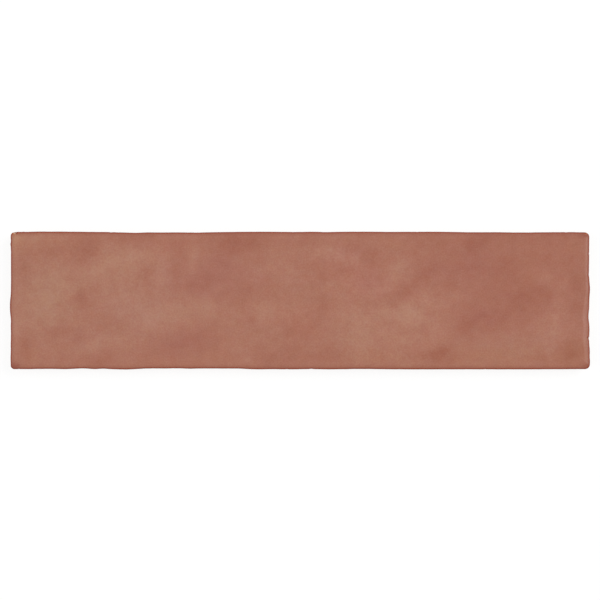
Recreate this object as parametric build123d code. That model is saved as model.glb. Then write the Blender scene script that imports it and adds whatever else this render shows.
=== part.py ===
# Zellige tile: one fired clay tile in a long brick format, lying face up on its back.
# X runs along the tile, Y across it and Z up; the origin is the middle of the back plane.
from build123d import *
import math
import os

# Overall size in mm
LENGTH = 300.0
WIDTH = 71.0
THICKNESS = 9.0

# Section: an upright land under the face, then sides leaning in to the back
LAND_HEIGHT = 3.5
BACK_INSET = 1.2
CORNER_RADIUS = 1.7
ARRIS_RADIUS = 1.0
BACK_EDGE_RADIUS = 0.5

# The face falls away towards its rim, as the clay does under a hand
CUSHION_DROP = 0.25
CUSHION_REACH = 4.0

# Mortar keys: shallow lengthwise pockets in the back, an even number so the middle is land
KEY_COUNT = 6
KEY_PITCH = 10.4
KEY_WIDTH = 6.0
KEY_DEPTH = 0.7
KEY_END_LAND = 13.0
KEY_DRAFT = 25.0

# Waves of the four sides: (share along the side from its left or lower end, offset outward)
REAR_WAVE = (
    (0.080, 0.20), (0.164, 0.00), (0.192, -0.40), (0.213, -0.42), (0.234, -0.12), (0.276, -0.14),
    (0.325, -0.30), (0.350, 0.00), (0.423, 0.15), (0.500, 0.00), (0.626, 0.17), (0.710, 0.12),
    (0.794, -0.06), (0.885, -0.30), (0.920, -0.12), (0.976, 0.02),
)
FRONT_WAVE = (
    (0.094, 0.05), (0.122, -0.28), (0.143, 0.00), (0.192, 0.10), (0.234, -0.32), (0.276, -0.45),
    (0.304, -0.15), (0.367, -0.30), (0.392, -0.28), (0.420, 0.10), (0.486, 0.13), (0.514, -0.02),
    (0.556, 0.13), (0.605, -0.02), (0.668, 0.12), (0.780, 0.12), (0.920, 0.12),
)
LEFT_WAVE = (
    (0.067, 0.10), (0.159, 0.00), (0.251, -0.12), (0.366, -0.03), (0.412, 0.30), (0.474, 0.40),
    (0.535, 0.05), (0.620, -0.10), (0.734, -0.12), (0.926, 0.00),
)
RIGHT_WAVE = (
    (0.080, 0.33), (0.167, 0.05), (0.213, -0.20), (0.280, 0.05), (0.374, -0.40), (0.443, -0.05),
    (0.520, 0.12), (0.589, 0.36), (0.658, 0.05), (0.734, -0.12), (0.926, -0.05),
)

# Swells and hollows of the face: (share of half length, share of half width, reach, height)
SWELLS = (
    (-0.89, 0.00, 16.0, 0.22), (-0.63, 0.55, 18.0, 0.20), (-0.75, 0.00, 9.0, -0.15),
    (-0.52, -0.20, 14.0, 0.20), (-0.42, -0.62, 14.0, -0.22), (-0.33, 0.30, 14.0, -0.20),
    (-0.23, 0.88, 12.0, -0.20), (-0.10, -0.20, 10.0, 0.12), (0.08, 0.00, 9.0, -0.12),
    (0.13, 0.68, 14.0, 0.15), (0.38, -0.20, 16.0, 0.25), (0.22, -0.68, 14.0, 0.15),
    (0.60, -0.34, 12.0, -0.20), (0.78, 0.09, 16.0, -0.25), (0.60, 0.50, 14.0, -0.15),
    (0.88, -0.42, 12.0, 0.18),
)

# The surface of the face is fitted through this many stations along and across the tile
STATIONS_ALONG = 61
STATIONS_ACROSS = 25
FACE_MARGIN = 2.0
FACE_HEADROOM = 2.0


def outline(inset):
    """The tile's plan shape: four waving sides joined by rounded corners."""
    half_x, half_y = LENGTH / 2 - inset, WIDTH / 2 - inset
    end_x, end_y = half_x - CORNER_RADIUS, half_y - CORNER_RADIUS

    def side(begin, end, outward, wave):
        begin, end, outward = Vector(begin), Vector(end), Vector(outward)
        run = end - begin
        points = [begin + run * share + outward * offset for share, offset in wave]
        return Spline(begin, *points, end, tangents=(run, run))

    return make_face([
        side((-end_x, -half_y), (end_x, -half_y), (0, -1), FRONT_WAVE),
        TangentArc((end_x, -half_y), (half_x, -end_y), tangent=(1, 0)),
        side((half_x, -end_y), (half_x, end_y), (1, 0), RIGHT_WAVE),
        TangentArc((half_x, end_y), (end_x, half_y), tangent=(0, 1)),
        side((-end_x, half_y), (end_x, half_y), (0, 1), REAR_WAVE),
        TangentArc((-end_x, half_y), (-half_x, end_y), tangent=(-1, 0)),
        side((-half_x, -end_y), (-half_x, end_y), (-1, 0), LEFT_WAVE),
        TangentArc((-half_x, -end_y), (-end_x, -half_y), tangent=(0, -1)),
    ])


def face_height(x, y):
    """Height of the face over the back at one point of the plan."""
    height = THICKNESS
    for along, across, reach, rise in SWELLS:
        away = (x - along * LENGTH / 2) ** 2 + (y - across * WIDTH / 2) ** 2
        height += rise * math.exp(-away / (2 * reach ** 2))
    to_end = max(LENGTH / 2 - abs(x), 0)
    to_side = max(WIDTH / 2 - abs(y), 0)
    fall = math.exp(-to_end / CUSHION_REACH) + math.exp(-to_side / CUSHION_REACH)
    return height - CUSHION_DROP * fall


def stations(half, count):
    """Points along one direction of the face, closer together towards its rim."""
    reach = half + FACE_MARGIN
    return [reach * math.sin(math.pi / 2 * (2 * i / (count - 1) - 1)) for i in range(count)]


# Body: the leaning lower part and the upright land, left tall for the face to be cut
land_z = THICKNESS - LAND_HEIGHT
rim = Pos(0, 0, land_z) * outline(0)
lower = loft([outline(BACK_INSET), rim], ruled=True)
upper = extrude(rim, amount=LAND_HEIGHT + FACE_HEADROOM)
body = lower + upper

# Back edge eased, then the mortar keys pressed into the back
back = body.faces().sort_by(Axis.Z)[0]
body = fillet(back.edges(), BACK_EDGE_RADIUS)
first_y = -KEY_PITCH * (KEY_COUNT - 1) / 2
for i in range(KEY_COUNT):
    plan = SlotOverall(LENGTH - 2 * KEY_END_LAND, KEY_WIDTH)
    body -= Pos(0, first_y + i * KEY_PITCH, 0) * extrude(plan, amount=KEY_DEPTH, taper=KEY_DRAFT)

# The waving face, and the arris rolled round it
points = [
    [Vector(x, y, face_height(x, y)) for y in stations(WIDTH / 2, STATIONS_ACROSS)]
    for x in stations(LENGTH / 2, STATIONS_ALONG)
]
face = Face.make_surface_from_array_of_points(points, tol=5e-3, min_deg=3, max_deg=5)
body -= Solid.extrude(face, Vector(0, 0, THICKNESS))
top = body.faces().sort_by(Axis.Z)[-1]
tile = fillet(top.edges(), ARRIS_RADIUS)
tile.label = "tile"

os.makedirs("parts", exist_ok=True)
export_step(tile, "parts/tile.step")
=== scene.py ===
# Zellige tile: the finished look of one glazed and fired tile, built round its solid.
import math

import bmesh
import bpy
import numpy as np
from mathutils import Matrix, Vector, noise


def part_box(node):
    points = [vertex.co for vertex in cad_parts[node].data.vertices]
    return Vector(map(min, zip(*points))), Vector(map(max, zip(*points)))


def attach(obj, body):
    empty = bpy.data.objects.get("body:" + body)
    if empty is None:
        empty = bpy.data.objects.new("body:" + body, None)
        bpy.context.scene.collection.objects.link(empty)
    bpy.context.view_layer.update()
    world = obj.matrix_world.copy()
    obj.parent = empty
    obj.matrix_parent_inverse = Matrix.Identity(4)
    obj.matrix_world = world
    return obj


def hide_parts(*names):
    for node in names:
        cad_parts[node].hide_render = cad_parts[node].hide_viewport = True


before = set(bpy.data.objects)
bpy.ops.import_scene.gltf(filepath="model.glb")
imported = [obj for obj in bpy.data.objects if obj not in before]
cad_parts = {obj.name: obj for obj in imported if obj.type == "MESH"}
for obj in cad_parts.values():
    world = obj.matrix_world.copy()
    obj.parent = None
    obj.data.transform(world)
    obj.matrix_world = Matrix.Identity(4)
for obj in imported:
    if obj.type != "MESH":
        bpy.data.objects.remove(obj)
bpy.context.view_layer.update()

# The tile
# One slab of buff clay, pressed face up into a mould and trimmed by hand, so its sides wave and its
# face swells and dips. A terracotta slip glaze, fired satin, covers the face and runs part of the way
# down the sides. The back is bare, with lengthwise keys for the mortar. Sizes are in millimetres.
MM = 0.001
LAND_HEIGHT = 3.5
BACK_INSET = 1.2
ARRIS_RADIUS = 1.0
BACK_EDGE_RADIUS = 0.5
# Corner radii in plan, by the signs of x and y
CORNER_RADII = {(-1, -1): 1.95, (1, -1): 2.45, (1, 1): 2.5, (-1, 1): 2.28}

# Waves of the sides: (share along the side from its left or lower end, offset outward)
REAR_WAVE = (
    (0.000, 0.12), (0.025, 0.10), (0.033, 0.17), (0.080, 0.23), (0.125, 0.10), (0.164, -0.02),
    (0.192, -0.24), (0.213, -0.40), (0.234, -0.20), (0.257, -0.25), (0.276, -0.20), (0.325, -0.24),
    (0.350, -0.09), (0.372, 0.00), (0.423, 0.15), (0.500, 0.04), (0.527, 0.12), (0.541, -0.02),
    (0.570, 0.10), (0.626, 0.17), (0.655, 0.08), (0.710, 0.14), (0.750, 0.11), (0.794, -0.11),
    (0.847, -0.11), (0.885, -0.24), (0.920, -0.15), (0.976, -0.06), (1.000, -0.14),
)
FRONT_WAVE = (
    (0.000, 0.00), (0.035, -0.04), (0.062, -0.13), (0.094, -0.01), (0.122, -0.35), (0.143, -0.02),
    (0.156, -0.21), (0.170, 0.02), (0.192, 0.20), (0.234, -0.30), (0.276, -0.34), (0.291, -0.39),
    (0.304, -0.23), (0.331, -0.33), (0.367, -0.30), (0.392, -0.28), (0.420, 0.10), (0.450, 0.04),
    (0.486, 0.13), (0.514, 0.00), (0.556, 0.13), (0.605, -0.06), (0.668, 0.12), (0.780, 0.12),
    (0.920, 0.12), (1.000, 0.00),
)
LEFT_WAVE = (
    (0.000, 0.02), (0.067, 0.10), (0.110, 0.00), (0.159, 0.02), (0.251, -0.10), (0.290, -0.02),
    (0.366, -0.04), (0.396, 0.24), (0.474, 0.40), (0.510, 0.28), (0.535, 0.05), (0.620, -0.13),
    (0.734, -0.14), (0.926, -0.03), (1.000, 0.03),
)
RIGHT_WAVE = (
    (0.000, 0.32), (0.033, 0.40), (0.075, 0.24), (0.105, 0.30), (0.136, 0.20), (0.159, 0.06),
    (0.213, -0.02), (0.280, 0.13), (0.318, 0.02), (0.374, -0.36), (0.443, -0.03), (0.520, 0.10),
    (0.589, 0.38), (0.658, 0.06), (0.734, -0.13), (0.810, -0.06), (0.860, -0.02), (0.926, 0.00),
    (1.000, 0.02),
)
# A wave stops this far short of the ends of its side, and fades out this far in from the side
WAVE_END = 1.7
WAVE_FADE = 12.0
WAVE_SAMPLES = 2001


def eased(wave, share):
    """Outward offset of a side where the share along it is given, smooth through its wave."""
    knots, offsets = np.transpose(wave)
    slopes = np.gradient(offsets, knots)
    slopes[[0, -1]] = 0
    i = np.clip(np.searchsorted(knots, share) - 1, 0, len(knots) - 2)
    span = knots[i + 1] - knots[i]
    t = (share - knots[i]) / span
    value = offsets[i] * (1 + 2 * t) * (1 - t) ** 2 + offsets[i + 1] * t * t * (3 - 2 * t)
    return value + span * (slopes[i] * t * (1 - t) ** 2 - slopes[i + 1] * t * t * (1 - t))


def peak(wave):
    """The furthest that a side stands out from its straight line."""
    return eased(wave, np.linspace(0, 1, WAVE_SAMPLES)).max()


tile_low, tile_high = (np.array(corner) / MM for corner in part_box("tile"))
half_x = (tile_high[0] - tile_low[0] - peak(LEFT_WAVE) - peak(RIGHT_WAVE)) / 2
half_y = (tile_high[1] - tile_low[1] - peak(FRONT_WAVE) - peak(REAR_WAVE)) / 2
half_size = np.array((half_x, half_y))


def share_along(position, half):
    """Share of a side's length at positions along it, measured from its middle."""
    return np.clip((position / (half - WAVE_END) + 1) / 2, 0, 1)


def waved(plan):
    """Plan points carried along by the waves of the sides, less and less towards the middle."""
    x, y = plan.T
    share_x, share_y = share_along(x, half_x), share_along(y, half_y)
    right, left, rear, front = (
        np.clip(1 - gap / WAVE_FADE, 0, 1) ** 2
        for gap in (half_x - x, half_x + x, half_y - y, half_y + y)
    )
    move_x = eased(RIGHT_WAVE, share_y) * right - eased(LEFT_WAVE, share_y) * left
    move_y = eased(REAR_WAVE, share_x) * rear - eased(FRONT_WAVE, share_x) * front
    return plan + np.stack([move_x, move_y], 1)


def rough(plan, size, seed):
    """Smooth noise from -1 to 1 over plan points, with lumps of about the given size."""
    return np.array([noise.noise(Vector((x / size, y / size, seed))) for x, y in plan])


# Nicks and chips of the rim, with a few lumps where the bite is below 0: (x, y, reach, bite, power);
# a power of 1 or so cuts a vee and a power of 4 a scoop
NICKS = (
    (149.97, -19.7, 0.42, 0.80, 1.5), (-147.85, 35.4, 0.75, 0.60, 4), (-145.8, -35.5, 0.40, 0.12, 4),
    (-150.0, 29.2, 0.80, -0.20, 4), (-150.0, 31.3, 0.60, 0.10, 4), (-150.0, 25.2, 0.80, 0.10, 4),
    (-143.3, 35.6, 0.60, -0.12, 4), (149.8, 13.7, 0.60, 0.28, 1), (149.9, 24.5, 0.50, 0.16, 2),
    (138.0, 35.5, 0.60, 0.14, 2), (-98.0, 35.5, 0.70, 0.14, 2), (-66.0, -35.5, 0.60, 0.12, 2),
    (-6.8, -35.5, 0.60, 0.14, 2), (5.9, -35.5, 0.60, 0.16, 2), (96.0, -35.5, 0.70, 0.12, 2),
    (61.0, 35.5, 0.70, 0.10, 2),
)

# Stations of the mesh along a side, closest together at its corners and by the first nick, the deepest
FINE_STEP = 0.2
COARSE_STEP = 0.75
STEP_GROWTH = 4.0


def graded(half, *near):
    """Stations from -1 to 1 along a side, with the finest steps near the given places."""
    stations = [-half]
    while stations[-1] < half:
        gap = min(abs(stations[-1] - place) for place in near)
        growth = 1 - math.exp(-gap / STEP_GROWTH)
        stations.append(stations[-1] + FINE_STEP + (COARSE_STEP - FINE_STEP) * growth)
    return np.interp(stations, (stations[0], stations[-1]), (-1, 1))


along = graded(half_x, -half_x, half_x)
across = graded(half_y, -half_y, half_y, NICKS[0][1])
columns, rows = len(along) - 1, len(across) - 1
around = np.concatenate([
    np.stack([along[:-1], np.full(columns, -1.0)], 1),
    np.stack([np.full(rows, 1.0), across[:-1]], 1),
    np.stack([along[:0:-1], np.full(columns, 1.0)], 1),
    np.stack([np.full(rows, -1.0), across[:0:-1]], 1),
])
corner_radius = np.array([CORNER_RADII[x, y] for x, y in np.where(around < 0, -1, 1)])
# The least reach past a corner's centre, so that none is divided by 0
LEAST_REACH = 1e-9


def ring(inset, tighter=0.0):
    """Plan points round the tile, drawn in from its straight outline, with tighter corners if asked."""
    half = half_size - np.reshape(inset, (-1, 1))
    radius = np.maximum(corner_radius - tighter, 0)[:, None]
    flat = np.abs(around * half)
    beyond = np.maximum(flat - (half - radius), 0)
    reach = np.maximum(np.linalg.norm(beyond, axis=1, keepdims=True), LEAST_REACH)
    return np.sign(around) * (np.minimum(flat, half - radius) + beyond * radius / reach)


# Swells and hollows of the face: (share of half length, share of half width, reach, height)
SWELLS = (
    (-0.89, 0.00, 16.0, 0.22), (-0.63, 0.55, 18.0, 0.20), (-0.75, 0.00, 9.0, -0.15),
    (-0.52, -0.20, 14.0, 0.20), (-0.42, -0.62, 14.0, -0.22), (-0.33, 0.30, 14.0, -0.20),
    (-0.23, 0.88, 12.0, -0.20), (-0.10, -0.20, 10.0, 0.12), (0.08, 0.00, 9.0, -0.12),
    (0.13, 0.68, 14.0, 0.15), (0.38, -0.20, 16.0, 0.25), (0.22, -0.68, 14.0, 0.15),
    (0.60, -0.34, 12.0, -0.20), (0.78, 0.09, 16.0, -0.25), (0.60, 0.50, 14.0, -0.15),
    (0.88, -0.42, 12.0, 0.18),
)
CUSHION_DROP = 0.25
CUSHION_REACH = 4.0
RIPPLE_SIZE = 7.0
RIPPLE_HEIGHT = 0.03
RIPPLE_SEED = 3.0
# The right end is rubbed down to a narrow facet: (y, how far in from the rim it begins, how far in it
# ends, how much paler it is painted, partly as thinner glaze and partly as a painted highlight)
FACET = (
    (-33.4, 0.6, 0.6, 0.40), (-31.5, 1.3, 2.6, 0.44), (-24.0, 1.5, 3.1, 0.46), (-20.0, 1.45, 3.5, 0.46),
    (-6.0, 1.15, 3.3, 0.50), (-1.0, 1.1, 2.7, 0.56), (5.0, 1.0, 2.1, 0.76), (24.0, 1.0, 2.05, 0.86),
    (33.0, 1.0, 1.9, 0.76), (34.0, 0.6, 0.6, 0.60),
)
FACET_FALL = 0.1


def end_gap(plan):
    """How far points lie in from the waving rim of the right end."""
    x, y = plan.T
    return half_x + eased(RIGHT_WAVE, share_along(y, half_y)) - x


def facet_span(plan):
    """Where the facet begins and ends, in from the rim, and how pale its thin glaze and painted highlight
    are, abreast of points.
    """
    stations, *spans = np.transpose(FACET)
    return [np.interp(plan[:, 1], stations, span) for span in spans]


def relief(plan):
    """Height of the face over its mean level."""
    x, y = plan.T
    height = RIPPLE_HEIGHT * rough(plan, RIPPLE_SIZE, RIPPLE_SEED)
    for share_x, share_y, reach, rise in SWELLS:
        away = (x - share_x * half_x) ** 2 + (y - share_y * half_y) ** 2
        height += rise * np.exp(-away / (2 * reach ** 2))
    to_end, to_side = np.maximum(half_x - np.abs(x), 0), np.maximum(half_y - np.abs(y), 0)
    height -= CUSHION_DROP * (np.exp(-to_end / CUSHION_REACH) + np.exp(-to_side / CUSHION_REACH))
    return height - FACET_FALL * np.maximum(facet_span(plan)[1] - end_gap(plan), 0)


# The glaze ends in a wandering edge part of the way down the sides, with a few runs below it. The
# edge wanders by (size, height)
GLAZE_EDGE = 6.3
EDGE_WANDER = ((24.0, 0.9), (7.0, 0.4))
RUN_SPACING = 11.0
RUN_LENGTH = 2.6
RUN_SEED = 1.0
outline = ring(0.0)
glaze_edge = GLAZE_EDGE + sum(rise * rough(outline, size, size) for size, rise in EDGE_WANDER)
glaze_edge -= RUN_LENGTH * np.maximum(rough(outline, RUN_SPACING, RUN_SEED), 0) ** 2

# Every point of the mesh, with its distance in from the rim and its height over the glaze's edge
points, rim_distances, edge_heights = [], [], []


def lay(plan, height, distance, edge):
    """Adds points to the mesh, given their distance in from the rim and the glaze edge's height."""
    points.append(np.column_stack([plan, np.broadcast_to(height, len(plan))]))
    rim_distances.append(np.broadcast_to(distance, len(plan)))
    edge_heights.append(np.broadcast_to(height - edge, len(plan)))


# The rim is left ragged by (size, bite) and has its nicks; what they take from it fades out towards
# the grid of the face
GRID_INSET = 5.0
RAGGED = ((1.3, 0.03), (3.1, 0.07))
ragged = sum(bite * np.maximum(rough(outline, size, size), 0) for size, bite in RAGGED)
for x, y, reach, bite, power in NICKS:
    away = np.linalg.norm(waved(outline) - (x, y), axis=1)
    ragged += bite * np.exp(-(away / reach) ** power)


def drawn_in(inset):
    """Inset of a ring near the rim, with what the ragged rim takes from it."""
    return inset + ragged * (1 - inset / GRID_INSET) ** 2


# The face: a grid inside, then rings that close in on the arris
FACE_RING_INSETS = (4.3, 3.6, 3.0, 2.5, 2.05, 1.7, 1.35, ARRIS_RADIUS)
grid = np.stack(np.meshgrid(along, across), -1).reshape(-1, 2)
grid_plan = waved(grid * (half_size - GRID_INSET))
grid_relief = relief(grid_plan)
thickness = tile_high[2] - grid_relief.max()
lay(grid_plan, thickness + grid_relief, GRID_INSET, GLAZE_EDGE)
for inset in FACE_RING_INSETS:
    plan = waved(ring(drawn_in(inset), inset))
    lay(plan, thickness + relief(plan), inset, glaze_edge)

# The arris, rolled over a quarter turn
ARRIS_STEPS = 6
for step in range(1, ARRIS_STEPS + 1):
    turn = math.pi / 2 * step / ARRIS_STEPS
    inset = ARRIS_RADIUS * (1 - math.sin(turn))
    plan = waved(ring(drawn_in(inset), inset))
    drop = ARRIS_RADIUS * (1 - math.cos(turn))
    lay(plan, thickness + relief(plan) - drop, inset, glaze_edge)
arris_foot = points[-1][:, 2]

# The sides: upright for the land, then leaning in; the glaze stands proud of the clay below it
LAND_STEPS = 6
LEAN_STEPS = 8
GLAZE_THICKNESS = 0.12
EDGE_ROLL = 0.5
LUMP_SIZE = 2.3
LUMP_HEIGHT = 0.05


def soft_step(gap, border):
    """0 where the gap is well below 0 and 1 where it is well above, with a straight border between."""
    return np.clip(gap / border + 0.5, 0, 1)


def side_ring(inset, height):
    """Adds one ring of the sides at a height, set back and lumpy where it is below the glaze's edge."""
    bare = soft_step(glaze_edge - height, EDGE_ROLL)
    lumps = LUMP_HEIGHT * rough(outline, LUMP_SIZE, float(np.mean(height)))
    # The lumps die out at the flat back
    lumps *= np.clip(height / BACK_EDGE_RADIUS, 0, 1)
    plan = waved(ring(inset + ragged * (1 - bare) + (GLAZE_THICKNESS + lumps) * bare))
    lay(plan, height, height - arris_foot, glaze_edge)


land_z = thickness - LAND_HEIGHT
lean_angle = math.atan2(BACK_INSET, land_z)
lean_foot = BACK_EDGE_RADIUS * (1 - math.sin(lean_angle))
for step in range(1, LAND_STEPS + 1):
    side_ring(0.0, arris_foot + (land_z - arris_foot) * step / LAND_STEPS)
for step in range(1, LEAN_STEPS + 1):
    height = land_z + (lean_foot - land_z) * step / LEAN_STEPS
    side_ring(BACK_INSET * (1 - height / land_z), height)

# The back edge, eased round to the flat back
BACK_EDGE_STEPS = 4
back_edge_centre = BACK_INSET + lean_foot / math.cos(lean_angle)
for step in range(1, BACK_EDGE_STEPS + 1):
    turn = lean_angle + (math.pi / 2 - lean_angle) * step / BACK_EDGE_STEPS
    inset = back_edge_centre - BACK_EDGE_RADIUS * math.cos(turn)
    side_ring(inset, BACK_EDGE_RADIUS * (1 - math.sin(turn)))
# All that was laid so far is rings, apart from the grid
ring_count = len(points) - 1

# The mortar keys: round-ended pockets with drafted walls
KEY_COUNT = 6
KEY_PITCH = 10.4
KEY_WIDTH = 6.0
KEY_DEPTH = 0.7
KEY_END_LAND = 13.0
KEY_DRAFT = 25.0
KEY_ARC_STEPS = 14
KEY_RUN_STEPS = 48
key_reach = half_x - KEY_END_LAND - KEY_WIDTH / 2
key_bottom = KEY_WIDTH / 2 - KEY_DEPTH * math.tan(math.radians(KEY_DRAFT))


def key_loop(radius):
    """Plan points round a key, from the near end of its right-hand arc."""
    arc = np.linspace(-math.pi / 2, math.pi / 2, KEY_ARC_STEPS + 1)
    run = np.linspace(key_reach, -key_reach, KEY_RUN_STEPS + 1)[1:-1]
    end = np.stack([key_reach + radius * np.cos(arc), radius * np.sin(arc)], 1)
    side = np.stack([run, np.full(len(run), radius)], 1)
    return np.concatenate([end, side, -end, -side])


key_starts = []
for key in range(KEY_COUNT):
    middle = (0.0, KEY_PITCH * (key - (KEY_COUNT - 1) / 2))
    for radius, height in ((KEY_WIDTH / 2, 0.0), (key_bottom, KEY_DEPTH)):
        key_starts.append(sum(map(len, points)))
        lay(key_loop(radius) + middle, height, -thickness, GLAZE_EDGE)

# The mesh: the grid, the rings joined one to the next, and the back filled in round its keys
SHARP_ANGLE = 40.0
places = np.concatenate(points)
numbers = np.arange(len(grid)).reshape(rows + 1, columns + 1)
grid_corners = (numbers[:-1, :-1], numbers[:-1, 1:], numbers[1:, 1:], numbers[1:, :-1])
faces = np.stack(grid_corners, -1).reshape(-1, 4).tolist()


def band(first, second):
    """Quads between two closed loops of vertex numbers."""
    return np.stack([first, second, np.roll(second, -1), np.roll(first, -1)], 1).tolist()


loop = np.concatenate([numbers[0, :-1], numbers[:-1, -1], numbers[-1, :0:-1], numbers[:0:-1, 0]])
for start in range(len(grid), len(grid) + ring_count * len(around), len(around)):
    next_loop = np.arange(start, start + len(around))
    faces += band(loop, next_loop)
    loop = next_loop
key_points = 2 * (KEY_ARC_STEPS + KEY_RUN_STEPS)
key_loops = [np.arange(start, start + key_points) for start in key_starts]
key_mouths, key_bottoms = key_loops[::2], key_loops[1::2]
for mouth, bottom in zip(key_mouths, key_bottoms):
    faces += band(mouth, bottom)

mesh = bpy.data.meshes.new("tile_glazed")
mesh.from_pydata(places * MM, [], faces)
build = bmesh.new()
build.from_mesh(mesh)
build.verts.ensure_lookup_table()


def fill(*loops):
    """Closes the flat area between loops of vertex numbers."""
    edges = []
    for border in loops:
        corners = [build.verts[i] for i in border]
        pairs = zip(corners, corners[1:] + corners[:1])
        edges += [build.edges.get(pair) or build.edges.new(pair) for pair in pairs]
    bmesh.ops.triangle_fill(build, edges=edges, use_beauty=True)


fill(loop, *key_mouths)
for bottom in key_bottoms:
    fill(bottom)
bmesh.ops.recalc_face_normals(build, faces=build.faces)
build.to_mesh(mesh)
build.free()
mesh.shade_smooth()
mesh.set_sharp_from_angle(angle=math.radians(SHARP_ANGLE))
tile = bpy.data.objects.new("tile_glazed", mesh)
bpy.context.scene.collection.objects.link(tile)

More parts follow.
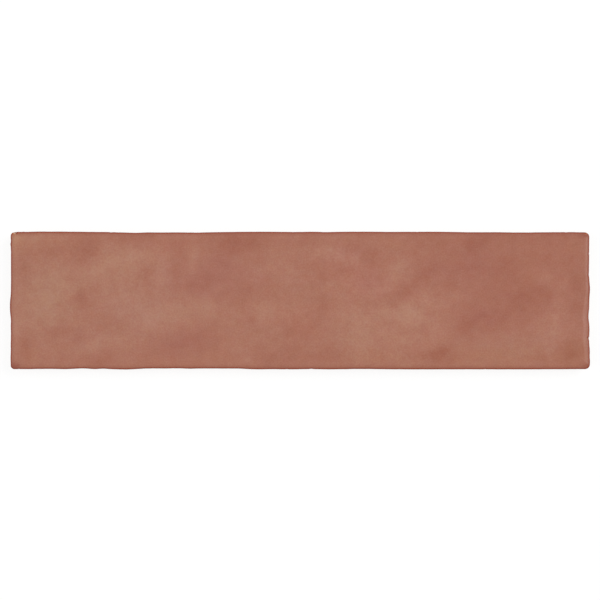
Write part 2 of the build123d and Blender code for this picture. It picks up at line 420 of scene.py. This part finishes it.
# Clouds of the glaze: (x, y, length, breadth, slant in degrees, strength), pale above 0, deep below
CLOUDS_AND_PAINTED_LIGHT = (
    # Broad ones; the pale one over the left end and the deep one over the right are partly painted light
    # and shade against the stronger right-hand lamp, and the strip along the front edge is painted shade
    (106, 10, 30, 18, 0, -0.58), (78, 26, 16, 9, 0, -0.22), (-62, -25, 20, 6, 0, -0.35),
    (2, -29, 22, 5, 0, -0.22), (-32, 31, 16, 5, 0, -0.42), (-100, 0, 50, 30, 0, 0.25),
    (44, -14, 20, 11, 0, 0.38), (112, -25, 22, 5, 0, 0.12), (-45, 12, 13, 8, 20, -0.42),
    (139, 18, 11, 16, 0, -0.22), (148, 0, 4, 40, 0, -0.22), (0, -35, 150, 1.2, 0, -0.22),
    # The left end
    (-111, 26, 5.5, 5.5, 30, -1.00), (-113, 1, 2.4, 3, 0, -0.52), (-112.5, 0, 4.6, 6, 0, -0.40),
    (-142, -24, 3, 4.5, 0, -0.85), (-143, 18, 3, 6, 0, -0.55), (-129, 26, 6, 3, 0, -0.50),
    (-126, -17, 5, 3.2, 20, -0.58), (-114, -18, 3.5, 2.4, 0, -0.45), (-103, -31, 5.5, 3, 15, -0.68),
    (-103, -11, 5, 4, 0, -0.35), (-95, -13, 3.5, 2.5, 0, -0.18), (-90, 32, 10, 2.2, 0, -0.40),
    (-120, -31, 12, 2.5, 0, -0.30), (-120, -23, 4, 2.5, 0, -0.22), (-132, 0, 7, 9, 0, 0.58),
    (-125, 12, 3, 2.4, -40, 0.45), (-120, 7, 2.4, 2, 0, 0.35), (-97, 20.5, 10, 5.0, 12, 0.52),
    (-83, 22, 5, 3.2, 0, 0.45), (-109, 13, 6, 2.8, 35, 0.35), (-147, 31, 2.4, 3.4, 0, 0.60),
    (-148.6, 30, 1.4, 3, 0, 0.45), (-138, 32, 6, 2, 0, 0.30), (-147, -12, 2.6, 4, 0, 0.36),
    (-95, -1, 6, 4, 0, 0.20), (-106, -22, 5, 2.6, 30, 0.35), (-97, -22, 3, 2.4, 0, 0.30),
    # Left of the middle
    (-84, 31, 8, 2.6, 0, -0.42), (-63, 28, 5, 5, 0, -0.48), (-36, 30, 5, 4, 30, -0.55),
    (-46, 31, 3.5, 3, 0, -0.20), (-26, 31, 6, 3.5, 0, -0.48), (-79, 14, 3.5, 4, 0, -0.50),
    (-64, 14, 3.4, 5, 0, -0.50), (-51, 10, 5, 3.5, 30, -0.46), (-58, 7, 4.5, 2.4, 0, -0.18),
    (-40, 19, 5, 4.5, -40, -0.35), (-39, 2, 4, 2.6, 25, -0.40), (-28, 4, 4.4, 5, 0, -0.52),
    (-66, -23, 6, 3, 5, -0.30), (-57, -19, 7, 4, 10, -0.40), (-48, -19, 5, 3.5, 0, -0.35),
    (-77, -29, 8, 2.4, 0, -0.30), (-43, -13, 2, 2, 0, -0.30), (-77, -7, 6, 3.2, 0, 0.45),
    (-80, -12.5, 2.6, 2.4, 0, 0.35), (-73, -13, 4.5, 2.4, 0, 0.25), (-64, -6, 5.5, 3.2, 0, 0.50),
    (-50, -2, 5, 3, 0, 0.42), (-47, -7, 4, 2.6, 0, 0.25), (-86, 0, 5, 3.5, 0, 0.20),
    (-55, 24, 2.4, 3.8, 0, 0.50), (-70, 20, 3, 3.4, 0, 0.38), (-71, 11, 2.6, 3.4, 0, 0.40),
    (-39.5, -22, 1, 6, 0, 0.12), (-33, -24, 5, 4, 0, 0.25), (-88, -21, 5, 4, 0, 0.15),
    # The middle
    (-20, 22, 2.6, 2.4, 0, -0.30), (-16, 7, 2.6, 3.4, 0, -0.35), (-26, -11, 2.6, 2, -20, -0.40),
    (-15, -31, 6, 3, 0, -0.40), (-3, -28, 4, 2.6, 0, -0.30), (16, -28, 6, 3.4, 0, -0.32),
    (5, 31, 5, 2.4, 0, -0.45), (28, 29, 4, 3, 0, -0.45), (5, 18, 6, 2.4, -20, -0.30),
    (20, 15, 7, 3, 15, -0.28), (11, 11, 2.6, 2.4, 0, -0.18), (13, -2, 3, 4, 0, -0.50),
    (8, -9, 3.4, 3.4, 0, -0.35), (0, -16, 6, 3.4, 0, -0.45), (-7, -17, 2, 3, 0, -0.30),
    (-13, 22, 5, 3, 0, 0.30), (-6, 14, 4, 3.4, 0, 0.25), (-22, 12, 2.2, 3, 0, 0.12),
    (-17, -6, 5.5, 3.6, 0, 0.45), (11, 26, 5.5, 2.4, 0, 0.42), (21, 23, 5, 2.4, -20, 0.35),
    (29, 21, 2.4, 1.8, 0, 0.30), (16, 7, 5, 2.2, 0, 0.25), (25, -7, 4.5, 3, 0, 0.30),
    (30, -23, 4.4, 6, 0, 0.45), (-28, -31, 2, 1.6, 0, 0.50),
    # Right of the middle
    (37, 22, 4, 6, 0, -0.45), (42, 10, 1.8, 1.8, 0, -0.30), (53, 4, 5, 2.6, 30, -0.60),
    (62, 11, 5, 2.6, 35, -0.34), (68, 16, 5, 3.2, 20, -0.35), (88, 17, 5.5, 2.2, 0, -0.42),
    (78, 10, 2.4, 3.4, 0, -0.28), (93, 31, 5, 3.6, 0, -0.60), (88, 26, 3, 4, 30, -0.30),
    (65, 31, 10, 3, 0, -0.28), (73, -28.0, 5.0, 3.0, 0, -1.15), (64, -28, 4, 2, 0, -0.40),
    (86, -13, 4.2, 5.2, -20, -0.66), (95, -9, 6.5, 3.8, 0, -0.50), (63, -15, 2.2, 1.8, 0, -0.40),
    (38, -2, 3, 1.8, 0, -0.40), (47, -1.5, 3, 1.5, 0, -0.15), (51.5, 16.5, 4.8, 3.4, 0, 0.58),
    (43, 6, 4.4, 2.1, 30, 0.42), (57, -7, 4.6, 3.4, -20, 1.00), (44, -6, 3.4, 2.6, 0, 0.42),
    (50, -20, 5, 2.8, 0, 0.20), (33, -11, 4, 4, 0, 0.18), (71, -13, 5, 3.2, -35, 0.26),
    (66, -20, 4, 3, 0, 0.22), (66, 1, 5, 3, 0, 0.50), (80, 2, 3.4, 2.4, 0, 0.40),
    (75, -4, 6, 4, 0, 0.18), (87, 10, 2, 3, 0, 0.22),
    # The right end
    (107, 18, 4, 5.5, 0, -0.30), (118, 1.5, 7.6, 4.4, 12, -0.47), (126, 6, 3, 2.2, 0, -0.22),
    (105, 2, 3, 3, 0, -0.15), (104, -10, 5, 3.4, 0, -0.30), (113, -5, 5, 3.4, 0, -0.25),
    (140, -27, 4.2, 4.2, 0, -1.05), (144, -4, 2.6, 2.6, 0, -0.40), (144, 8, 2.4, 3.6, 0, -0.36),
    (125, 24, 4.4, 2.4, 0, -0.20), (140, 23, 2.8, 2.4, 0, -0.25), (122, 33, 20, 2.6, 0, -0.50),
    (126, -29.5, 2.4, 2, 0, -0.45), (127, 12, 4.6, 2.6, -20, 0.64), (137, 9, 2.2, 2.6, 0, 0.38),
    (134, 0, 2.4, 4, 0, 0.40), (131, -9, 4, 2.4, 0, 0.45), (132, -17, 4.4, 4.6, 0, 0.55),
    (124, -15, 3.4, 2.4, 0, 0.24), (96, -22, 4, 2.6, 0, 0.16), (118, -25, 7, 2.6, 0, 0.18),
    (107, -19, 3.4, 2.2, 0, 0.18),
)
# Where the glaze leans to ochre, above 0, or to mauve, below
OCHRES = (
    (-125, 0, 30, 40, 0, 0.14), (110, 0, 50, 40, 0, -0.14),
    (-146, 31, 5, 4, 0, 1.0), (-128, 30, 9, 2.5, 0, 0.5), (48, 29, 4, 2.5, 0, 0.6),
    (105, -29, 28, 3.5, 0, 0.80), (40, -29, 10, 3, 0, 0.6), (141, -26, 4.5, 5, 0, 0.9),
    (120, 18, 3, 7, -10, 0.5), (-46, -29, 5, 2, 0, 0.6), (142, 28, 3, 3, 0, 0.5),
    (-140, -29, 4, 2.5, 0, 0.6), (-92, -2, 10, 6, 0, -0.5), (-51, 10, 10, 6.5, 0, -0.8),
    (-39, 17, 8, 7, 0, -0.8), (-62, -21, 10, 4.5, 0, -0.8), (-70, 11, 4, 9, 0, -0.5),
    (-110, -19, 9, 4, 0, -0.5), (22, 23, 7, 3.5, 0, -0.7), (35, 10, 5, 5, 0, -0.9),
    (91, 19, 7, 8, 0, -0.8), (96, -8, 7, 3, 0, -0.8), (72, 15, 7, 3, 0, -0.7),
    (-22, 12, 4, 4, 0, -0.5), (106, 2, 3, 2, 0, -0.5), (-3, 11, 4, 3, 0, -0.3),
    (44, 6, 4, 3, 30, -0.3), (-80, -9, 6, 5, 0, -0.5), (132, -21, 5, 4, 0, -0.4),
)
# Where it leans to a cool green-grey, above 0, or to rose, below
COOLS = (
    (-131, 2, 10, 14, 0, 0.8), (-95, 15, 25, 12, 0, 0.3), (-85, -4, 14, 8, 0, 0.35),
    (-60, -5, 12, 4, 0, 0.2), (25, -20, 10, 10, 0, 0.4), (-140, 8, 10, 15, 0, 0.3),
    (-108, -18, 20, 8, 0, 0.3), (-15, -20, 11, 6, 0, 0.35), (3, 5, 8, 5, 0, 0.45),
    (42, -1, 7, 4, 0, 0.4), (52, 16, 6, 4, 0, 0.35), (57, -7, 6, 4, 0, 0.22),
    (-39.5, -22, 1.2, 6, 0, -0.6), (35, 8, 10, 8, 0, -0.5), (20, 17, 8, 6, 0, -0.45),
    (-65, 29, 10, 4, 0, -0.4), (0, -12, 8, 5, 0, -0.4), (-102, -31, 7, 3, 0, -0.3),
    (-72, -32, 14, 3, 0, -0.4), (134, 28, 12, 8, 0, -0.3), (100, 5, 40, 25, 0, -0.15),
    (147, 0, 5, 40, 0, 0.35), (110, -24, 18, 5, 0, 0.60),
)
# Where the corners are darker, with one pock; spots of iron; the corner where the glaze is off
DARK_CORNERS = (
    (-148.6, -34.2, 2.3, 1.7, 0, 0.60), (-146.0, -33.4, 0.45, 0.40, 0, 0.30),
    (148.4, -34.0, 2.0, 1.2, 0, 0.34), (147.2, 33.8, 2.4, 0.9, 0, 0.38),
)
IRON_SPOTS = (
    (-148.9, 34.7, 0.35, 0.35, 0, 1.0), (-148.2, 33.6, 0.3, 0.3, 0, 0.5),
    (148.3, 34.8, 0.35, 0.3, 0, 1.0),
)
CHIPS = ((-147.85, 35.2, 0.7, 0.55, 0, 1.3),)
CHIP_HEIGHT = 2.4
DRIFT_SIZE = 6.0
DRIFT = 1.6
DRIFT_SEEDS = (11.0, 12.0)
FACET_BORDER = 0.35
# How much more mauve the facet is painted, as part of its painted highlight
FACET_HIGHLIGHT_MAUVE = 0.5


def patches(table, plan):
    """The sum of soft slanting patches over plan points."""
    total = np.zeros(len(plan))
    for x, y, length, breadth, slant, strength in table:
        turn = math.radians(slant)
        off_x, off_y = plan[:, 0] - x, plan[:, 1] - y
        lengthways = (off_x * math.cos(turn) + off_y * math.sin(turn)) / length
        sideways = (off_y * math.cos(turn) - off_x * math.sin(turn)) / breadth
        total += strength * np.exp(-(lengthways ** 2 + sideways ** 2) / 2)
    return total


def store(name, values):
    """Keeps one number for each point of the mesh, for the material to read."""
    layer = mesh.attributes.new(name, "FLOAT", "POINT")
    layer.data.foreach_set("value", np.asarray(values, np.float32))


spots = places[:, :2]
drifted = spots + DRIFT * np.stack([rough(spots, DRIFT_SIZE, seed) for seed in DRIFT_SEEDS], 1)
facet_begin, facet_end, facet_glaze_and_highlight = facet_span(spots)
facet = soft_step(facet_end - end_gap(spots), FACET_BORDER)
facet *= soft_step(end_gap(spots) - facet_begin, FACET_BORDER)
chipped = patches(CHIPS, spots) * np.clip((places[:, 2] - thickness) / CHIP_HEIGHT + 1, 0, 1)
# On the facet the glaze is painted paler and more mauve, partly as thinner glaze and partly as a painted
# highlight
store("depth_and_painted_light", patches(CLOUDS_AND_PAINTED_LIGHT, drifted) + facet_glaze_and_highlight * facet)
store("ochre_and_highlight", patches(OCHRES, drifted) - FACET_HIGHLIGHT_MAUVE * facet)
store("cool", patches(COOLS, drifted))
store("dark_corner", patches(DARK_CORNERS, spots))
store("iron", patches(IRON_SPOTS, spots))
store("chipped", chipped)
store("rim", np.concatenate(rim_distances))
store("over_edge", np.concatenate(edge_heights))


def srgb(*levels):
    """A colour given in screen levels from 0 to 255, as the linear colour a shader takes."""
    return (*(((level / 255 + 0.055) / 1.055) ** 2.4 for level in levels), 1.0)


def add(tree, kind, inputs=None, **settings):
    """A shader node of that kind; inputs are plain values or the sockets that feed it."""
    made = tree.nodes.new("ShaderNode" + kind)
    for name, value in settings.items():
        setattr(made, name, value)
    for name, value in (inputs or {}).items():
        if isinstance(value, bpy.types.NodeSocket):
            tree.links.new(value, made.inputs[name])
        else:
            made.inputs[name].default_value = value
    return made


def calculate(tree, operation, first, second=0.0, third=0.0, clamp=False):
    """One sum of a Math node."""
    inputs = {0: first, 1: second, 2: third}
    return add(tree, "Math", inputs, operation=operation, use_clamp=clamp).outputs[0]


def spread(tree, value, low, high, to_low=0.0, to_high=1.0, ease="LINEAR"):
    """A value between low and high carried to another range."""
    inputs = {"Value": value, "From Min": low, "From Max": high, "To Min": to_low, "To Max": to_high}
    return add(tree, "MapRange", inputs, interpolation_type=ease).outputs["Result"]


def between(tree, share, first, second):
    """A number between two others, which are sockets 2 and 3 of a Mix node."""
    return add(tree, "Mix", {0: share, 2: first, 3: second}).outputs[0]


def blend(tree, share, first, second, kind="MIX"):
    """A mix of two colours, which are sockets 6 and 7 of a Mix node."""
    inputs = {0: share, 6: first, 7: second}
    return add(tree, "Mix", inputs, data_type="RGBA", blend_type=kind).outputs[2]


def ramp(tree, value, low, middle, high):
    """A colour that runs through three colours as the value goes from 0 to 1."""
    made = add(tree, "ValToRGB", {"Fac": value})
    elements = made.color_ramp.elements
    elements.new(0.5)
    for element, colour in zip(elements, (low, middle, high)):
        element.color = colour
    return made.outputs["Color"]


def speckle(tree, where, size, detail=2.0):
    """Noise about 0, with lumps of about the given size in mm."""
    inputs = {"Vector": where, "Scale": 1 / size, "Detail": detail}
    return calculate(tree, "SUBTRACT", add(tree, "TexNoise", inputs).outputs["Fac"], 0.5)


def carried(tree, name):
    """A number that the mesh carries for each point."""
    return add(tree, "Attribute", attribute_name=name).outputs["Fac"]


finish = bpy.data.materials.new("glazed_clay")
finish.use_nodes = True
tree = finish.node_tree
tree.nodes.clear()
where = add(tree, "TexCoord").outputs["Object"]
where = add(tree, "VectorMath", {0: where, "Scale": 1 / MM}, operation="SCALE").outputs[0]

# Colour of the glaze, from where it lies deep to where it thins
GLAZE_DEEP = srgb(155, 93, 73)
GLAZE_MIDDLE = srgb(167, 110, 90)
GLAZE_PALE = srgb(178, 129, 106)
DEPTH_RANGE = 1.33
MOTTLE_SIZE, MOTTLE_DETAIL, MOTTLE_DEPTH = 4.5, 3.0, 1.0
GRAIN_SIZE, GRAIN_DEPTH = 0.8, 2.0
mottle = speckle(tree, where, MOTTLE_SIZE, MOTTLE_DETAIL)
grain = speckle(tree, where, GRAIN_SIZE)
# The glaze's depth also carries the painted light and shade among the clouds, and the facet's painted
# highlight
depth_and_painted_light = calculate(tree, "MULTIPLY_ADD", mottle, MOTTLE_DEPTH, carried(tree, "depth_and_painted_light"))
depth_and_painted_light = calculate(tree, "MULTIPLY_ADD", grain, GRAIN_DEPTH, depth_and_painted_light)
depth_and_painted_light = spread(tree, depth_and_painted_light, -DEPTH_RANGE, DEPTH_RANGE)
glaze = ramp(tree, depth_and_painted_light, GLAZE_DEEP, GLAZE_MIDDLE, GLAZE_PALE)

# Casts of colour over it, each of which multiplies the glaze's red, green and blue: (what the mesh
# carries, colour below 0, colour above 0, size of the noise in it)
PLAIN = (1.0, 1.0, 1.0, 1.0)
MAUVE, OCHRE = (1.0, 1.0, 1.08, 1.0), (1.0, 1.0, 0.92, 1.0)
ROSE, COOL = (1.04, 1.0, 1.0, 1.0), (0.96, 1.0, 1.0, 1.0)
CASTS = (("ochre_and_highlight", MAUVE, OCHRE, 2.6), ("cool", ROSE, COOL, 3.4))
CAST_DEPTH, CAST_RANGE = 2.0, 1.0
for leaning, low, high, size in CASTS:
    cast = calculate(tree, "MULTIPLY_ADD", speckle(tree, where, size), CAST_DEPTH, carried(tree, leaning))
    cast = ramp(tree, spread(tree, cast, -CAST_RANGE, CAST_RANGE), low, PLAIN, high)
    glaze = blend(tree, 1.0, glaze, cast, "MULTIPLY")

# The glaze breaks dark in a line along the arris, which is partly painted shade of the arris turning away
# from the light, and at its lower edge; inside the line it has painted shade, and it is darker at the
# corners.
# Distances are in from the rim, or below 0 down the side
ARRIS_BROWN = srgb(152, 79, 57)
ARRIS_DARK = srgb(130, 46, 28)
CORNER_DARK = srgb(130, 54, 34)
IRON = srgb(170, 92, 40)
LINE_WIDTH = 0.85
LINE_SOFTNESS = 0.15
LINE_DEEPENS, LINE_RECOVERS = (0.40, 0.05), (-0.7, -0.1)
LINE_WOBBLE_SIZE, LINE_WOBBLE = 2.2, 0.08
LINE_FADE = (-1.8, -0.6)
SHADE_REACH = 2.6
SHADED = (0.90, 0.85, 0.83, 1.0)
BEAD_WIDTH, BEAD = 0.5, 0.6
wobble = speckle(tree, where, LINE_WOBBLE_SIZE)
rim = calculate(tree, "MULTIPLY_ADD", wobble, LINE_WOBBLE, carried(tree, "rim"))
over_edge = calculate(tree, "MULTIPLY_ADD", wobble, LINE_WOBBLE, carried(tree, "over_edge"))
# The dark line: partly the glaze breaking at the arris, partly painted shade of the arris turning away
# from the light
line = spread(tree, rim, LINE_WIDTH + LINE_SOFTNESS, LINE_WIDTH - LINE_SOFTNESS, ease="SMOOTHSTEP")
line = calculate(tree, "MULTIPLY", line, spread(tree, rim, *LINE_FADE))
# Painted shade: the glaze is darkened from SHADE_REACH in from the rim out to the line, and all down the
# side
shade = spread(tree, rim, SHADE_REACH, LINE_WIDTH, ease="SMOOTHSTEP")
glaze = blend(tree, shade, glaze, SHADED, "MULTIPLY")
bead = spread(tree, over_edge, BEAD_WIDTH, 0, 0, BEAD, "SMOOTHSTEP")
dark = calculate(tree, "MAXIMUM", line, bead)
deepens, recovers = spread(tree, rim, *LINE_DEEPENS), spread(tree, rim, *LINE_RECOVERS)
# The line's colour, deeper towards the rim: broken glaze and painted shade
broken_and_shaded = blend(tree, calculate(tree, "MULTIPLY", deepens, recovers), ARRIS_BROWN, ARRIS_DARK)
glaze = blend(tree, dark, glaze, broken_and_shaded)
# Darker at the corners, and at one pock
glaze = blend(tree, carried(tree, "dark_corner"), glaze, CORNER_DARK)
glaze = blend(tree, carried(tree, "iron"), glaze, IRON)

# Colour of the bare clay on the sides and the back, with dark grog, kiln wash and a dusting of glaze
CLAY_DARK = srgb(186, 148, 114)
CLAY_MIDDLE = srgb(208, 175, 142)
CLAY_PALE = srgb(222, 196, 166)
GROG = srgb(140, 96, 66)
KILN_WASH = srgb(233, 224, 210)
GLAZE_DUST = srgb(176, 112, 90)
CLAY_SIZE, CLAY_DETAIL, CLAY_CONTRAST = 1.1, 5.0, 0.2
GROG_SIZE, GROG_SHARE = 0.5, (0.18, 0.24)
WASH_SIZE, WASH_DETAIL = 9.0, 6.0
WASH_SHARE, WASH_STRENGTH, WASH_REACH = (-0.08, 0.12), 0.7, (0.12, 0.02)
DUST_SIZE, DUST_DETAIL = 0.8, 4.0
DUST_SHARE, DUST_STRENGTH, DUST_REACH = (-0.15, 0.15), 0.7, 2.2
clay_grain = speckle(tree, where, CLAY_SIZE, CLAY_DETAIL)
clay = spread(tree, clay_grain, -CLAY_CONTRAST, CLAY_CONTRAST)
clay = ramp(tree, clay, CLAY_DARK, CLAY_MIDDLE, CLAY_PALE)
clay = blend(tree, spread(tree, speckle(tree, where, GROG_SIZE), *GROG_SHARE), clay, GROG)
over_back = add(tree, "SeparateXYZ", {0: where}).outputs["Z"]
wash = spread(tree, speckle(tree, where, WASH_SIZE, WASH_DETAIL), *WASH_SHARE, 0, WASH_STRENGTH)
wash = calculate(tree, "MULTIPLY", wash, spread(tree, over_back, *WASH_REACH))
clay = blend(tree, wash, clay, KILN_WASH)
dust = spread(tree, speckle(tree, where, DUST_SIZE, DUST_DETAIL), *DUST_SHARE)
dust = calculate(tree, "MULTIPLY", dust, spread(tree, over_edge, -DUST_REACH, 0, 0, DUST_STRENGTH))
clay = blend(tree, dust, clay, GLAZE_DUST)

# One surface: glaze above its edge, clay below it and where the glaze is chipped off
EDGE_SOFTNESS = 0.08
CHIP_EDGE = (0.45, 0.60)
SATIN, SATIN_CONTRAST = (0.30, 0.40), 0.2
LINE_ROUGHNESS = 0.70
CHALKY = (0.80, 0.95)
SHEEN = 0.4
PEEL_SIZE, PEEL_HEIGHT = 1.6, 0.010
GRIT_SIZE, GRIT_DETAIL, GRIT_HEIGHT = 0.45, 4.0, 0.09
glazed = spread(tree, over_edge, -EDGE_SOFTNESS, EDGE_SOFTNESS, ease="SMOOTHSTEP")
chip = spread(tree, carried(tree, "chipped"), *CHIP_EDGE)
glazed = calculate(tree, "SUBTRACT", glazed, chip, clamp=True)
colour = blend(tree, glazed, clay, glaze)
satin = spread(tree, mottle, -SATIN_CONTRAST, SATIN_CONTRAST, *SATIN)
satin = between(tree, line, satin, LINE_ROUGHNESS)
chalky = spread(tree, clay_grain, -CLAY_CONTRAST, CLAY_CONTRAST, *CHALKY)
roughness = between(tree, glazed, chalky, satin)
peel = calculate(tree, "MULTIPLY", speckle(tree, where, PEEL_SIZE), PEEL_HEIGHT)
grit = calculate(tree, "MULTIPLY", speckle(tree, where, GRIT_SIZE, GRIT_DETAIL), GRIT_HEIGHT)
surface = between(tree, glazed, grit, peel)
bump = add(tree, "Bump", {"Height": surface, "Strength": 1.0, "Distance": MM}).outputs["Normal"]
shader = add(tree, "BsdfPrincipled", {
    "Base Color": colour, "Roughness": roughness, "Normal": bump, "Specular IOR Level": SHEEN,
})
add(tree, "OutputMaterial", {"Surface": shader.outputs["BSDF"]})

mesh.materials.append(finish)
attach(tile, "root")
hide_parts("tile")

# The floor
# A plain white sheet that the tile lies on. What looks straight at it, or sees it in a gloss, sees
# white less the tile's soft shadow; to the rest of the light it is a plain matt white.
FLOOR_HALF = 40.0
FLOOR_GAP = 0.2
FLOOR_WHITE = (0.8, 0.8, 0.8, 1.0)
FLOOR_SHADOW = (0.16, 0.16, 0.16, 1.0)
FLOOR_GLOW = 0.86
FLOOR_CORNERS = ((-1, -1), (1, -1), (1, 1), (-1, 1))
floor_mesh = bpy.data.meshes.new("floor")
floor_mesh.from_pydata(
    [(x * FLOOR_HALF, y * FLOOR_HALF, -FLOOR_GAP * MM) for x, y in FLOOR_CORNERS], [], [(0, 1, 2, 3)],
)
floor = bpy.data.objects.new("floor", floor_mesh)
bpy.context.scene.collection.objects.link(floor)
sheet = bpy.data.materials.new("floor_sheet")
sheet.use_nodes = True
sheet_tree = sheet.node_tree
sheet_tree.nodes.clear()
path = add(sheet_tree, "LightPath")
seen = calculate(sheet_tree, "MAXIMUM", path.outputs["Is Camera Ray"], path.outputs["Is Glossy Ray"])
seen = calculate(sheet_tree, "MAXIMUM", seen, path.outputs["Is Transmission Ray"])
plain = add(sheet_tree, "BsdfDiffuse", {"Color": FLOOR_WHITE})
shaded = add(sheet_tree, "BsdfDiffuse", {"Color": FLOOR_SHADOW})
glow = add(sheet_tree, "Emission", {"Strength": FLOOR_GLOW})
white = add(sheet_tree, "AddShader", {0: shaded.outputs[0], 1: glow.outputs[0]})
both = add(sheet_tree, "MixShader", {0: seen, 1: plain.outputs[0], 2: white.outputs[0]})
add(sheet_tree, "OutputMaterial", {"Surface": both.outputs[0]})
floor_mesh.materials.append(sheet)

# The light
# A pale room all round, with a large soft lamp high on the right and a weaker one on the left. They
# light the tile at a plain level, so that its colours come out about as they are written.
ROOM_WHITE = (1.0, 1.0, 1.0, 1.0)
ROOM_STRENGTH = 0.5
LAMP_SIZE = 2.0
LAMPS = (
    ("lamp_right", (1.8, 1.0, 2.2), 44.0),
    ("lamp_left", (-1.8, -0.1, 2.2), 24.0),
)
room = bpy.data.worlds.new("room")
room.use_nodes = True
background = room.node_tree.nodes["Background"]
background.inputs["Color"].default_value = ROOM_WHITE
background.inputs["Strength"].default_value = ROOM_STRENGTH
bpy.context.scene.world = room
for lamp_name, place, watts in LAMPS:
    lamp = bpy.data.lights.new(lamp_name, "AREA")
    lamp.size = LAMP_SIZE
    lamp.energy = watts
    stand = bpy.data.objects.new(lamp_name, lamp)
    stand.location = place
    stand.rotation_euler = Vector(place).to_track_quat("Z", "Y").to_euler()
    stand.visible_camera = False
    bpy.context.scene.collection.objects.link(stand)

# The camera
# Straight above the tile on a long lens, with the tile's length filling most of the frame. VIEW_WIDTH
# is what the frame spans at the height of the rim, and VIEW_Y is the middle of the frame.
LENS = 200.0
SENSOR = 36.0
VIEW_WIDTH = 311.03
VIEW_Y = 0.30
camera_data = bpy.data.cameras.new("camera")
camera_data.lens = LENS
camera_data.sensor_width = SENSOR
camera = bpy.data.objects.new("camera", camera_data)
rim_height = thickness - ARRIS_RADIUS
camera.location = Vector((0, VIEW_Y, rim_height + VIEW_WIDTH * LENS / SENSOR)) * MM
bpy.context.scene.collection.objects.link(camera)
bpy.context.scene.camera = camera
bpy.context.scene.view_settings.view_transform = "Standard"
